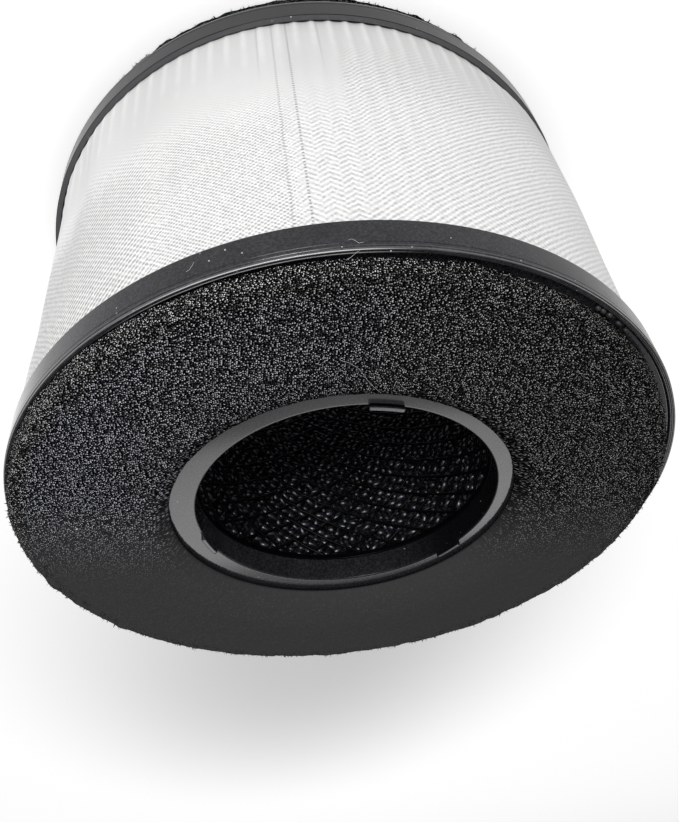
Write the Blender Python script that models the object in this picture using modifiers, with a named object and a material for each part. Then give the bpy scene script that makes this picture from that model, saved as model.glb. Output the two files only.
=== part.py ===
# Cylindrical air purifier filter: two moulded end caps with foam gaskets hold a pleated sheet,
# a bed of carbon granules between two tubes, and a woven sleeve round the outside.
# Metres, +Z up. The origin is the centre of the face that the filter stands on.

from math import cos, pi, radians, sin

import bmesh
import bpy
from mathutils import Matrix

# Overall form. The radius of the caps follows from the layers inside them.
RIM_TO_RIM = 0.1143
SEGMENTS = 60

# End caps, measured from the rim plane inwards
SKIRT = 0.0092
SKIRT_WALL = 0.00166
RIM_CHAMFER = 0.0003
RECESS = 0.00135
FLOOR_THICKNESS = 0.0016
BORE_RADIUS = 0.0422
BORE_ROUNDING = 0.0007
COLLAR_WALL = 0.0016
COLLAR_DEPTH = 0.0086

# Spring fingers: tongues of the collar that stand up past the rim and grip a spigot in the bore
FINGER_COUNT = 3
FIRST_FINGER_ANGLE = radians(265)
FINGER_WIDTH = 0.0088
FINGER_THICKNESS = 0.0013
FINGER_INSET = 0.0003
FINGER_ABOVE_RIM = 0.0014
FINGER_ROOT = 0.0014
FINGER_SLIT = 0.0010
POCKET_REACH = 0.0040
POCKET_DEPTH = 0.0054
ARC_STEPS = 3

# Foam gaskets
FOAM_LEDGE = 0.0048
FOAM_INNER_RISE = 0.0014
FOAM_OUTER_RISE = 0.0046
FOAM_CROWN_WIDTH = 0.0130
FOAM_EDGE_ROUNDING = 0.0012
TOP_FOAM_SHIFT = (0.0013, 0.0)
BOTTOM_FOAM_SHIFT = (0.0, -0.0010)

# Woven sleeve
SLEEVE_THICKNESS = 0.0005
SLEEVE_TUCK = 0.0035
SLEEVE_RIDGE = 0.0004
SLEEVE_BULGE = 0.0011

# Folded sheet
PLEAT_COUNT = 114
PLEAT_DEPTH = 0.02943
PLEAT_SHEET = 0.00045
PLEAT_TIP_SHARE = 0.30

# Carbon bed and the two tubes that hold it
CORE_WALL = 0.0015
CORE_BAND = 0.0050
LATTICE_COLUMNS = 12
FACETS_PER_COLUMN = 3
LATTICE_ROWS = 6
LATTICE_STRAND = 0.0026
CARBON_THICKNESS = 0.0110
NET_WALL = 0.0008

# Glue beds under the cap floors
GLUE_DEPTH = 0.0030

# Clearance between pieces that touch
GAP = 0.0003

# Sizes that follow from the values above, from the bore outwards
FACET = cos(pi / SEGMENTS)
CORE_SEGMENTS = LATTICE_COLUMNS * FACETS_PER_COLUMN
CARBON_INNER = (BORE_RADIUS + CORE_WALL + GAP) / FACET
CARBON_OUTER = CARBON_INNER + CARBON_THICKNESS
NET_INNER = (CARBON_OUTER + GAP) / FACET
NET_OUTER = NET_INNER + NET_WALL
PLEAT_INNER = NET_OUTER + GAP + PLEAT_SHEET
PLEAT_OUTER = PLEAT_INNER + PLEAT_DEPTH
SLEEVE_END_RADIUS = PLEAT_OUTER + GAP + SLEEVE_THICKNESS + SLEEVE_RIDGE
INSIDE_SKIRT = SLEEVE_END_RADIUS + GAP
RECESS_RADIUS = (INSIDE_SKIRT + GAP) / FACET
CAP_RADIUS = RECESS_RADIUS + SKIRT_WALL

STANDS_ON_FOAM = FOAM_OUTER_RISE
BOTTOM_RIM = STANDS_ON_FOAM
TOP_RIM = BOTTOM_RIM + RIM_TO_RIM
FLOOR_UNDERSIDE = RECESS + FLOOR_THICKNESS
FOAM_INNER = BORE_RADIUS + FOAM_LEDGE
COLLAR_OUTER = BORE_RADIUS + COLLAR_WALL
GLUE_INNER = (COLLAR_OUTER + GAP) / FACET
GLUE_TOP = FLOOR_UNDERSIDE + GAP
GLUE_END = GLUE_TOP + GLUE_DEPTH
PACK_END = GLUE_END + GAP


def clear_scene():
    for old in list(bpy.data.objects):
        bpy.data.objects.remove(old, do_unlink=True)


def collection(name):
    made = bpy.data.collections.new(name)
    bpy.context.scene.collection.children.link(made)
    return made


def material(name, colour, roughness, metallic=0.0):
    made = bpy.data.materials.new(name)
    made.use_nodes = True
    shader = made.node_tree.nodes["Principled BSDF"]
    shader.inputs["Base Color"].default_value = (*colour, 1.0)
    shader.inputs["Roughness"].default_value = roughness
    shader.inputs["Metallic"].default_value = metallic
    made.diffuse_color = (*colour, 1.0)
    return made


def add_object(name, mesh, group, finish=None):
    made = bpy.data.objects.new(name, mesh)
    if finish:
        mesh.materials.append(finish)
    group.objects.link(made)
    return made


def turned(name, profile, group, finish, segments=SEGMENTS):
    """A closed (radius, height) outline turned about Z. It runs down the outer side first."""
    mesh = bpy.data.meshes.new(name)
    corners = [(radius, 0.0, height) for radius, height in profile]
    edges = [(i, (i + 1) % len(corners)) for i in range(len(corners))]
    mesh.from_pydata(corners, edges, [])
    made = add_object(name, mesh, group, finish)
    screw = made.modifiers.new("Turn", "SCREW")
    screw.axis = "Z"
    screw.angle = 2 * pi
    screw.steps = segments
    screw.render_steps = segments
    screw.use_merge_vertices = True
    screw.merge_threshold = 0.00001
    return made


def ring(outer, inner, top, bottom):
    return [(outer, top), (outer, bottom), (inner, bottom), (inner, top)]


def as_cutter(made):
    made.hide_render = True
    made.display_type = "WIRE"
    return made


def boolean(target, other, operation):
    step = target.modifiers.new(other.name, "BOOLEAN")
    step.operation = operation
    step.solver = "EXACT"
    step.object = other


def arc_blocks(name, inner, outer, bottom, top, width, group):
    """One block at each finger's angle, curved to follow the bore."""
    sweep = width / BORE_RADIUS
    bm = bmesh.new()
    for number in range(FINGER_COUNT):
        start = FIRST_FINGER_ANGLE + number * 2 * pi / FINGER_COUNT - sweep / 2
        corners = [(inner, bottom), (outer, bottom), (outer, top), (inner, top)]
        verts = [bm.verts.new((r * cos(start), r * sin(start), z)) for r, z in corners]
        face = bm.faces.new(verts)
        bmesh.ops.spin(
            bm,
            geom=[face, *face.edges, *face.verts],
            cent=(0, 0, 0),
            axis=(0, 0, 1),
            angle=sweep,
            steps=ARC_STEPS,
        )
    bmesh.ops.recalc_face_normals(bm, faces=bm.faces)
    mesh = bpy.data.meshes.new(name)
    bm.to_mesh(mesh)
    bm.free()
    return as_cutter(add_object(name, mesh, group))


def cap_profile():
    """Rim at height 0, everything else below it."""
    bore_arc = [
        (
            BORE_RADIUS + BORE_ROUNDING * (1 - cos(turn)),
            -RECESS - BORE_ROUNDING * (1 - sin(turn)),
        )
        for turn in (0, pi / 4, pi / 2)
    ]
    return [
        (CAP_RADIUS - RIM_CHAMFER, 0),
        (CAP_RADIUS, -RIM_CHAMFER),
        (CAP_RADIUS, -SKIRT),
        (RECESS_RADIUS, -SKIRT),
        (RECESS_RADIUS, -FLOOR_UNDERSIDE),
        (COLLAR_OUTER, -FLOOR_UNDERSIDE),
        (COLLAR_OUTER, -COLLAR_DEPTH),
        (BORE_RADIUS, -COLLAR_DEPTH),
        *bore_arc,
        (RECESS_RADIUS, -RECESS),
        (RECESS_RADIUS, 0),
    ]


def build_cap(name, group, helpers, finish):
    cap = turned(name, cap_profile(), group, finish)
    front = BORE_RADIUS - FINGER_INSET
    pockets = arc_blocks(
        name + "_pockets",
        front - FINGER_INSET,
        BORE_RADIUS + POCKET_REACH,
        -POCKET_DEPTH,
        FINGER_ABOVE_RIM,
        FINGER_WIDTH + 2 * FINGER_SLIT,
        helpers,
    )
    fingers = arc_blocks(
        name + "_fingers",
        front,
        front + FINGER_THICKNESS,
        -POCKET_DEPTH - FINGER_ROOT,
        FINGER_ABOVE_RIM,
        FINGER_WIDTH,
        helpers,
    )
    boolean(cap, pockets, "DIFFERENCE")
    boolean(cap, fingers, "UNION")
    for helper in (pockets, fingers):
        helper.parent = cap
    return cap


def foam_outer(shift):
    """The gasket is pushed off centre until it nearly meets the recess wall."""
    return INSIDE_SKIRT - (shift[0] ** 2 + shift[1] ** 2) ** 0.5


def crowned_foam_profile(shift):
    """Glued down at the bore, so it is lower there and rises to its full height outwards."""
    outer = foam_outer(shift)
    edge = FOAM_EDGE_ROUNDING
    crown = FOAM_INNER + FOAM_CROWN_WIDTH
    rise = FOAM_OUTER_RISE - FOAM_INNER_RISE
    return [
        (outer - edge, FOAM_OUTER_RISE),
        (outer - edge * (1 - sin(pi / 4)), FOAM_OUTER_RISE - edge * (1 - cos(pi / 4))),
        (outer, FOAM_OUTER_RISE - edge),
        (outer, -RECESS + GAP),
        (FOAM_INNER, -RECESS + GAP),
        (FOAM_INNER, FOAM_INNER_RISE),
        (FOAM_INNER + FOAM_CROWN_WIDTH / 3, FOAM_INNER_RISE + 0.6 * rise),
        (crown, FOAM_OUTER_RISE),
    ]


def flat_foam_profile(shift):
    """The gasket that carries the filter: one thickness all over, with its outer edge rounded."""
    outer = foam_outer(shift)
    edge = FOAM_EDGE_ROUNDING
    return [
        (outer - edge, STANDS_ON_FOAM),
        (outer, STANDS_ON_FOAM - edge),
        (outer, -RECESS + GAP),
        (FOAM_INNER, -RECESS + GAP),
        (FOAM_INNER, STANDS_ON_FOAM),
    ]


def build_sleeve(group, finish):
    """A tube of cloth that rides on the fold tips: a ridge on each tip, tucked under both skirts."""
    low = BOTTOM_RIM + SKIRT - SLEEVE_TUCK
    high = TOP_RIM - SKIRT + SLEEVE_TUCK
    levels = [
        (low, SLEEVE_END_RADIUS),
        ((low + high) / 2, SLEEVE_END_RADIUS + SLEEVE_BULGE),
        (high, SLEEVE_END_RADIUS),
    ]
    bm = bmesh.new()
    rings = []
    for height, radius in levels:
        made = bmesh.ops.create_circle(bm, segments=2 * PLEAT_COUNT, radius=radius)
        for index, vert in enumerate(made["verts"]):
            share = (radius - SLEEVE_RIDGE * (index % 2)) / radius
            vert.co.x *= share
            vert.co.y *= share
            vert.co.z = height
        rings.append(made["verts"])
    for lower, upper in zip(rings, rings[1:]):
        bmesh.ops.bridge_loops(bm, edges=loop_edges(lower) + loop_edges(upper))
    bmesh.ops.recalc_face_normals(bm, faces=bm.faces)
    mesh = bpy.data.meshes.new("mesh_sleeve")
    bm.to_mesh(mesh)
    bm.free()
    sleeve = add_object("mesh_sleeve", mesh, group, finish)
    shell = sleeve.modifiers.new("Cloth", "SOLIDIFY")
    shell.thickness = SLEEVE_THICKNESS
    shell.offset = -1
    return sleeve


def loop_edges(verts):
    members = set(verts)
    return [
        edge
        for edge in {edge for vert in verts for edge in vert.link_edges}
        if edge.verts[0] in members and edge.verts[1] in members
    ]


def pleat_outline():
    """One fold after another round the pack: out to a flat tip, in to a flat root."""
    pitch = 2 * pi / PLEAT_COUNT
    tip = pitch * PLEAT_TIP_SHARE / 2
    points = []
    for fold in range(PLEAT_COUNT):
        centre = fold * pitch
        for radius, angle in (
            (PLEAT_OUTER, centre - tip),
            (PLEAT_OUTER, centre + tip),
            (PLEAT_INNER, centre + pitch / 2 - tip),
            (PLEAT_INNER, centre + pitch / 2 + tip),
        ):
            points.append((radius * cos(angle), radius * sin(angle)))
    return points


def build_pleats(group, finish):
    """The folded sheet itself: its outline drawn up into a wall and given the sheet's thickness."""
    low = BOTTOM_RIM + PACK_END
    high = TOP_RIM - PACK_END
    bm = bmesh.new()
    verts = [bm.verts.new((x, y, low)) for x, y in pleat_outline()]
    edges = [bm.edges.new((verts[i], verts[(i + 1) % len(verts)])) for i in range(len(verts))]
    drawn = bmesh.ops.extrude_edge_only(bm, edges=edges)
    raised = [part for part in drawn["geom"] if isinstance(part, bmesh.types.BMVert)]
    bmesh.ops.translate(bm, verts=raised, vec=(0, 0, high - low))
    bmesh.ops.recalc_face_normals(bm, faces=bm.faces)
    mesh = bpy.data.meshes.new("pleated_media")
    bm.to_mesh(mesh)
    bm.free()
    pleats = add_object("pleated_media", mesh, group, finish)
    sheet = pleats.modifiers.new("Sheet", "SOLIDIFY")
    sheet.thickness = PLEAT_SHEET
    sheet.offset = 0
    sheet.use_even_offset = True
    return pleats


def diamond_cutters(low, high, helpers):
    """Radial diamond prisms in staggered rows, one for each opening of the core tube's lattice.

    They are turned by a quarter facet, so that no corner lies on an edge of the faceted tube.
    """
    bm = bmesh.new()
    column_pitch = 2 * pi / LATTICE_COLUMNS
    quarter_facet = 2 * pi / CORE_SEGMENTS / 4
    row_pitch = (high - low) / LATTICE_ROWS
    half_width = (column_pitch * BORE_RADIUS - LATTICE_STRAND) / 2
    half_height = (row_pitch - LATTICE_STRAND) / 2
    centre_radius = BORE_RADIUS + CORE_WALL / 2
    for row in range(LATTICE_ROWS):
        for column in range(LATTICE_COLUMNS):
            angle = (column + 0.5 * (row % 2)) * column_pitch + quarter_facet
            place = (
                Matrix.Rotation(angle, 4, "Z")
                @ Matrix.Translation((centre_radius, 0, low + (row + 0.5) * row_pitch))
                @ Matrix.Rotation(pi / 2, 4, "Y")
            )
            prism = bmesh.ops.create_cone(
                bm, cap_ends=True, segments=4, radius1=1, radius2=1, depth=4 * CORE_WALL
            )
            stretch = Matrix.Diagonal((half_height, half_width, 1, 1))
            bmesh.ops.transform(bm, matrix=place @ stretch, verts=prism["verts"])
    bmesh.ops.recalc_face_normals(bm, faces=bm.faces)
    mesh = bpy.data.meshes.new("lattice_openings")
    bm.to_mesh(mesh)
    bm.free()
    return as_cutter(add_object("lattice_openings", mesh, helpers))


def build_core(group, helpers, finish):
    low = BOTTOM_RIM + COLLAR_DEPTH + GAP
    high = TOP_RIM - COLLAR_DEPTH - GAP
    wall = ring(BORE_RADIUS + CORE_WALL, BORE_RADIUS, high, low)
    core = turned("core_tube", wall, group, finish, CORE_SEGMENTS)
    boolean(core, diamond_cutters(low + CORE_BAND, high - CORE_BAND, helpers), "DIFFERENCE")
    return core


def shade(made):
    bpy.context.view_layer.objects.active = made
    for face in made.data.polygons:
        face.use_smooth = True
    made.data.set_sharp_from_angle(angle=radians(30))


def build():
    clear_scene()
    group = collection("air_purifier_filter")
    helpers = collection("cutters")
    black_plastic = material("black_plastic", (0.045, 0.046, 0.05), 0.38)
    black_foam = material("black_foam", (0.022, 0.022, 0.024), 0.95)
    white_nylon = material("white_nylon", (0.80, 0.80, 0.79), 0.6)
    white_sheet = material("white_sheet", (0.83, 0.83, 0.81), 0.9)
    carbon = material("carbon", (0.012, 0.012, 0.013), 0.35)
    dark_glue = material("dark_glue", (0.03, 0.03, 0.03), 0.6)

    top_cap = build_cap("top_cap", group, helpers, black_plastic)
    top_cap.location.z = TOP_RIM
    bottom_cap = build_cap("bottom_cap", group, helpers, black_plastic)
    bottom_cap.rotation_euler.x = pi
    bottom_cap.location.z = BOTTOM_RIM

    top_foam = turned("top_foam_ring", crowned_foam_profile(TOP_FOAM_SHIFT), group, black_foam)
    top_foam.location = (*TOP_FOAM_SHIFT, TOP_RIM)
    bottom_foam = turned(
        "bottom_foam_ring", flat_foam_profile(BOTTOM_FOAM_SHIFT), group, black_foam
    )
    bottom_foam.rotation_euler.x = pi
    bottom_foam.location = (*BOTTOM_FOAM_SHIFT, BOTTOM_RIM)

    glue = ring(PLEAT_OUTER, GLUE_INNER, -GLUE_TOP, -GLUE_END)
    turned("top_glue", glue, group, dark_glue).location.z = TOP_RIM
    bottom_glue = turned("bottom_glue", glue, group, dark_glue)
    bottom_glue.rotation_euler.x = pi
    bottom_glue.location.z = BOTTOM_RIM

    build_sleeve(group, white_nylon)
    build_pleats(group, white_sheet)
    build_core(group, helpers, black_plastic)
    low = BOTTOM_RIM + PACK_END
    high = TOP_RIM - PACK_END
    turned("carbon_bed", ring(CARBON_OUTER, CARBON_INNER, high, low), group, carbon)
    turned("carbon_net", ring(NET_OUTER, NET_INNER, high, low), group, black_plastic)
    for made in group.objects:
        shade(made)


build()
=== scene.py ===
# Air purifier filter, dressed over its CAD model. Metres, +Z up, standing on end.
# The photographed side faces -Y and the camera hangs upside down, so the picture's right is -X.

import random
from math import cos, pi, radians, sin, tau

import bpy
import numpy as np
from mathutils import Matrix, Vector, noise


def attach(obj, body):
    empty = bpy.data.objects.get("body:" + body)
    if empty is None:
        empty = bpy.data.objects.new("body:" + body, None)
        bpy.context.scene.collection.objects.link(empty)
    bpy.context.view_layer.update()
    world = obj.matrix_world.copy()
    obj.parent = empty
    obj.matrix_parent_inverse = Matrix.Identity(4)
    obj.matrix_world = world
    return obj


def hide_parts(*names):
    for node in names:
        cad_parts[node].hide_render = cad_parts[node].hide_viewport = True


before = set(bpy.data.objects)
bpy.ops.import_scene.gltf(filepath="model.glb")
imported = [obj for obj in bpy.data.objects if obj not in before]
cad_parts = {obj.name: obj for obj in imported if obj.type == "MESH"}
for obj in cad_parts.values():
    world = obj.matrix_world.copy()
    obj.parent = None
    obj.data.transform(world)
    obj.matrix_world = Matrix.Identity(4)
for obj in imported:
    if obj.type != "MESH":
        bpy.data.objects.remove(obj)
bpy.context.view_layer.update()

photo = {"width": 679, "height": 822}

# Sizes that the pieces share with the CAD model
body = {
    "rim": 0.1189,  # the top cap's rim plane
    "lowRim": 0.0046,
    "capRadius": 0.0900,
    "recessRadius": 0.08834,
    "recess": 0.00135,
    "bore": 0.0422,
    "collarDepth": 0.0086,
    "skirt": 0.0092,
    "pleats": 114,
}


def say(text):
    print("filter:", text, flush=True)


class Wire:
    # A value on its way between two nodes. Sums on it add Math nodes.
    def __init__(self, finish, socket):
        self.finish = finish
        self.socket = socket

    def math(self, operation, *others, first=False):
        values = [*others, self] if first else [self, *others]
        return self.finish.node("Math", {"operation": operation}, dict(enumerate(values)))

    def __add__(self, other):
        return self.math("ADD", other)

    def __radd__(self, other):
        return self.math("ADD", other)

    def __sub__(self, other):
        return self.math("SUBTRACT", other)

    def __rsub__(self, other):
        return self.math("SUBTRACT", other, first=True)

    def __mul__(self, other):
        return self.math("MULTIPLY", other)

    def __rmul__(self, other):
        return self.math("MULTIPLY", other)

    def __truediv__(self, other):
        return self.math("DIVIDE", other)

    def __rtruediv__(self, other):
        return self.math("DIVIDE", other, first=True)

    def __pow__(self, other):
        return self.math("POWER", other)

    def smooth(self, start, end):
        # 0 before start and 1 past end, whichever of the two is the larger
        ends = {"Value": self, "From Min": start, "From Max": end}
        return self.finish.node("MapRange", {"interpolation_type": "SMOOTHSTEP"}, ends)

    def span(self, first, last):
        # 1 between two soft edges
        return self.smooth(*first) * self.smooth(*last)


class Finish:
    # A material in the making. Every node that isn't a sum comes from node().
    def __init__(self, name, fixed):
        self.material = bpy.data.materials.new(name)
        self.material.use_nodes = True
        self.tree = self.material.node_tree
        self.shader = self.tree.nodes["Principled BSDF"]
        self.use(fixed)
        self.place = self.node("TexCoord", out="Object")

    def node(self, kind, settings=None, inputs=None, out=0):
        made = self.tree.nodes.new("ShaderNode" + kind)
        for key, value in (settings or {}).items():
            setattr(made, key, value)
        for key, value in (inputs or {}).items():
            self.feed(made.inputs[key], value)
        return Wire(self, made.outputs[out])

    def feed(self, socket, value):
        if isinstance(value, Wire):
            self.tree.links.new(value.socket, socket)
        elif socket.type == "RGBA":
            socket.default_value = (*value, 1)
        else:
            socket.default_value = value

    def use(self, values):
        for key, value in values.items():
            self.feed(self.shader.inputs[key], value)

    def split(self):
        return [self.node("SeparateXYZ", None, {0: self.place}, axis) for axis in range(3)]

    def polar(self):
        x, y, z = self.split()
        return y.math("ARCTAN2", x), (x * x + y * y).math("SQRT"), z

    def cloud(self, size, detail=2, rough=0.5, out=0):
        inputs = {"Vector": self.place, "Scale": 1 / size, "Detail": detail, "Roughness": rough}
        return self.node("TexNoise", None, inputs, out)

    def cells(self, size, out="Distance"):
        return self.node("TexVoronoi", None, {"Vector": self.place, "Scale": 1 / size}, out)

    def dots(self, spot, size, loose, out="Distance"):
        # An evenly strewn field of cells on a flat pattern
        inputs = {"Vector": spot, "Scale": 1 / size, "Randomness": loose}
        return self.node("TexVoronoi", {"voronoi_dimensions": "2D"}, inputs, out)

    def tint(self, share, low, high):
        inputs = {0: share, 6: low, 7: high}
        return self.node("Mix", {"data_type": "RGBA"}, inputs, 2)

    def bump(self, height, distance, strength=1.0, under=None):
        inputs = {"Height": height, "Distance": distance, "Strength": strength}
        if under:
            inputs["Normal"] = under
        return self.node("Bump", None, inputs)


def eased(corners, steps=5):
    # Corners are (radius, height, rounding). The rounding is how far back on both sides the curve starts.
    outline = []
    for number, (radius, height, back) in enumerate(corners):
        here = Vector((radius, height))
        if not back:
            outline.append(tuple(here))
            continue
        before = (Vector(corners[number - 1][:2]) - here).normalized() * back
        after = (Vector(corners[(number + 1) % len(corners)][:2]) - here).normalized() * back
        outline.append(tuple(here + before * 1.3))
        for step in range(steps + 1):
            share = step / steps
            outline.append(tuple(here + before * (1 - share) ** 2 + after * share**2))
        outline.append(tuple(here + after * 1.3))
    return outline


def respaced(outline, step):
    # The same closed outline with a point at every step
    path = np.array([*outline, outline[0]])
    along = np.concatenate(([0], np.cumsum(np.hypot(*np.diff(path, axis=0).T))))
    spots = np.linspace(0, along[-1], round(along[-1] / step), endpoint=False)
    return np.stack([np.interp(spots, along, path[:, side]) for side in (0, 1)], -1)


def turned(outline, columns, centre=(0, 0)):
    angle = np.arange(columns) * tau / columns
    radius, height = np.array(outline).T
    x = centre[0] + radius[:, None] * np.cos(angle)
    y = centre[1] + radius[:, None] * np.sin(angle)
    return np.stack((x, y, np.repeat(height[:, None], columns, 1)), -1)


def outward(outline, columns):
    # The direction that each point of a turned outline faces
    path = np.array(outline)
    along = np.roll(path, -1, 0) - np.roll(path, 1, 0)
    facing = np.stack((along[:, 1], -along[:, 0]), -1)
    facing /= np.hypot(*facing.T)[:, None]
    area = np.sum(path[:, 0] * np.roll(path[:, 1], -1) - np.roll(path[:, 0], -1) * path[:, 1])
    return turned(facing * np.sign(area), columns)


def skin(name, points, extra=None):
    # points[row, column] closes on itself both ways, as the skin of a ring does.
    # Extra holds small four-pointed spikes.
    rows, columns = points.shape[:2]
    here = np.arange(rows * columns).reshape(rows, columns)
    below = np.roll(here, -1, 0)
    faces = np.stack((here, below, np.roll(below, -1, 1), np.roll(here, -1, 1)), -1)
    points, faces = points.reshape(-1, 3), faces.reshape(-1, 4)
    a, b, c = (points[faces[:, corner]] for corner in range(3))
    if np.einsum("ij,ij->", a, np.cross(b, c)) < 0:
        faces = faces[:, ::-1]
    points, faces = points.tolist(), faces.tolist()
    sides = ((0, 2, 1), (0, 1, 3), (1, 2, 3), (2, 0, 3))
    for spike in [] if extra is None else extra.tolist():
        first = len(points)
        points.extend(spike)
        faces.extend([tuple(first + corner for corner in side) for side in sides])
    mesh = bpy.data.meshes.new(name)
    mesh.from_pydata(points, [], faces)
    mesh.shade_smooth()
    return mesh


def lumps(points, size, seed=0.0):
    # Smooth heights from about -1 to 1, one a point
    shape = points.shape[:-1]
    flat = points.reshape(-1, 3) / size + seed
    return np.array([noise.noise(spot) for spot in flat.tolist()]).reshape(shape) * 1.6


def upTo(value, start, end):
    share = np.clip((value - start) / (end - start), 0, 1)
    return share * share * (3 - 2 * share)


def within(value, first, last):
    return upTo(value, *first) * upTo(value, *last)


def hump(value, middle, width):
    return np.exp(-(((value - middle) / width) ** 2))


def piece(name, mesh, slot, finish, *replaced):
    made = bpy.data.objects.new(name, mesh)
    bpy.context.scene.collection.objects.link(made)
    mesh.materials.clear()
    mesh.materials.append(finish.material)
    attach(made, "root")
    if replaced:
        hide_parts(*replaced)
    return made


def carved(mesh, tool, angle=35):
    # The mesh with the tool's volume cut out of it
    owner, cutter = (bpy.data.objects.new("carving", each) for each in (mesh, tool))
    for each in (owner, cutter):
        bpy.context.scene.collection.objects.link(each)
    step = owner.modifiers.new("carve", "BOOLEAN")
    step.operation = "DIFFERENCE"
    step.solver = "EXACT"
    step.object = cutter
    bpy.context.view_layer.update()
    seen = bpy.context.evaluated_depsgraph_get()
    done = bpy.data.meshes.new_from_object(owner.evaluated_get(seen))
    for each in (owner, cutter):
        bpy.data.objects.remove(each)
    done.set_sharp_from_angle(angle=radians(angle))
    return done


def joined(name, parts):
    # Several (points, faces) as one mesh
    points, faces, count = [], [], 0
    for spots, sides in parts:
        points.extend(spots)
        faces.extend([tuple(corner + count for corner in side) for side in sides])
        count += len(spots)
    mesh = bpy.data.meshes.new(name)
    mesh.from_pydata(points, [], faces)
    mesh.shade_smooth()
    return mesh


def curvedBar(angle, width, section, ease, slices=18, deepest=0.85):
    # A bar that follows the bore. Its section draws in at both ends, so they are rounded.
    outline = np.array(section)
    middle = outline.mean(0)
    reach = np.abs(outline - middle).max(0)
    points = []
    for number in range(slices + 1):
        share = (1 - cos(pi * number / slices)) / 2
        left = min(share, 1 - share) * width
        inset = ease - (ease**2 - (ease - left) ** 2) ** 0.5 if left < ease else 0
        scale = (reach - np.minimum(inset, reach * deepest)) / reach
        turn = angle + (share - 0.5) * width / body["bore"]
        for radius, height in middle + (outline - middle) * scale:
            points.append((radius * cos(turn), radius * sin(turn), height))
    count = len(section)
    faces = [tuple(range(count))[::-1], tuple(range(slices * count, (slices + 1) * count))]
    for row in range(slices):
        for column in range(count):
            beside = (column + 1) % count
            faces.append(
                (
                    row * count + column,
                    row * count + beside,
                    (row + 1) * count + beside,
                    (row + 1) * count + column,
                )
            )
    return points, faces


def tube(path, radii, sides=6):
    # A closed round tube through the path's points
    path = [Vector(spot) for spot in path]
    points, faces = [], []
    side = None
    for number, spot in enumerate(path):
        ahead = path[min(number + 1, len(path) - 1)] - path[max(number - 1, 0)]
        ahead.normalize()
        side = (side or ahead.orthogonal()) - ahead * ahead.dot(side or ahead.orthogonal())
        side.normalize()
        across = ahead.cross(side)
        for turn in range(sides):
            angle = turn * tau / sides
            points.append(tuple(spot + (side * cos(angle) + across * sin(angle)) * radii[number]))
    for row in range(len(path) - 1):
        for column in range(sides):
            beside = (column + 1) % sides
            corners = (column, beside, beside + sides, column + sides)
            faces.append(tuple(row * sides + corner for corner in corners))
    faces.append(tuple(range(sides))[::-1])
    faces.append(tuple(range((len(path) - 1) * sides, len(path) * sides)))
    return points, faces


say("camera, light and floor")

view = {
    "place": (0.03911, -0.18114, 0.23981),
    "right": (-0.98606, -0.12570, 0.10903),
    "up": (0.0, -0.65523, -0.75543),
    "lens": 34.42,
    "sensor": 36,
    "nearest": 0.01,
}


def makeCamera():
    right, up = Vector(view["right"]), Vector(view["up"])
    lens = bpy.data.cameras.new("camera")
    lens.lens = view["lens"]
    lens.sensor_width = view["sensor"]
    lens.clip_start = view["nearest"]
    camera = bpy.data.objects.new("camera", lens)
    bpy.context.scene.collection.objects.link(camera)
    turn = Matrix((right, up, right.cross(up))).transposed().to_4x4()
    camera.matrix_world = Matrix.Translation(view["place"]) @ turn
    bpy.context.scene.camera = camera


def through(pixel):
    # The camera's line of sight through a point of the photograph
    right, up = Vector(view["right"]), Vector(view["up"])
    reach = view["lens"] / view["sensor"] * photo["height"]
    across = (pixel[0] - photo["width"] / 2) / reach
    down = (pixel[1] - photo["height"] / 2) / reach
    return (right * across - up * down - right.cross(up)).normalized()


def onWall(pixel, radius):
    # Where that line first meets an upright tube of this radius
    start, ray = Vector(view["place"]), through(pixel)
    a = ray.x**2 + ray.y**2
    b = start.x * ray.x + start.y * ray.y
    c = start.x**2 + start.y**2 - radius**2
    return start + ray * ((-b - max(b * b - a * c, 0) ** 0.5) / a)


def onLevel(pixel, height):
    start, ray = Vector(view["place"]), through(pixel)
    return start + ray * ((height - start.z) / ray.z)


light = {
    "front": {"azimuth": radians(288), "height": radians(26), "size": (0.38, 0.38), "power": 7.8},
    "back": {"azimuth": radians(102), "height": radians(37), "size": (1.10, 0.24), "power": 1.15},
    "distance": 1.2,
    "sky": 0.44,
}


def makeLamp(name, azimuth, height, size, power):
    lamp = bpy.data.lights.new(name, "AREA")
    lamp.shape = "ELLIPSE"
    lamp.size, lamp.size_y = size
    lamp.energy = power
    holder = bpy.data.objects.new(name, lamp)
    bpy.context.scene.collection.objects.link(holder)
    aim = Vector((cos(azimuth) * cos(height), sin(azimuth) * cos(height), sin(height)))
    holder.location = aim * light["distance"] + Vector((0, 0, body["rim"] / 2))
    holder.rotation_euler = aim.to_track_quat("Z", "Y").to_euler()


def makeLight():
    makeLamp("frontLamp", **light["front"])
    makeLamp("backLamp", **light["back"])
    world = bpy.data.worlds.new("world")
    bpy.context.scene.world = world
    world.use_nodes = True
    sky = world.node_tree.nodes["Background"]
    sky.inputs["Color"].default_value = (1, 1, 1, 1)
    sky.inputs["Strength"].default_value = light["sky"]


floor = {
    "reach": 3.0,
    "level": -0.0002,
    "colour": (0.94, 0.94, 0.94),
    "shaded": (0.68, 0.68, 0.675),
    "lift": 0.42,
    "shadeAt": (-0.03, 0.36),
    "shadeReach": (0.25, 0.40),
    "shadeEdge": (1.05, 0.10),
    "shadeDepth": 0.62,
}


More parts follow.
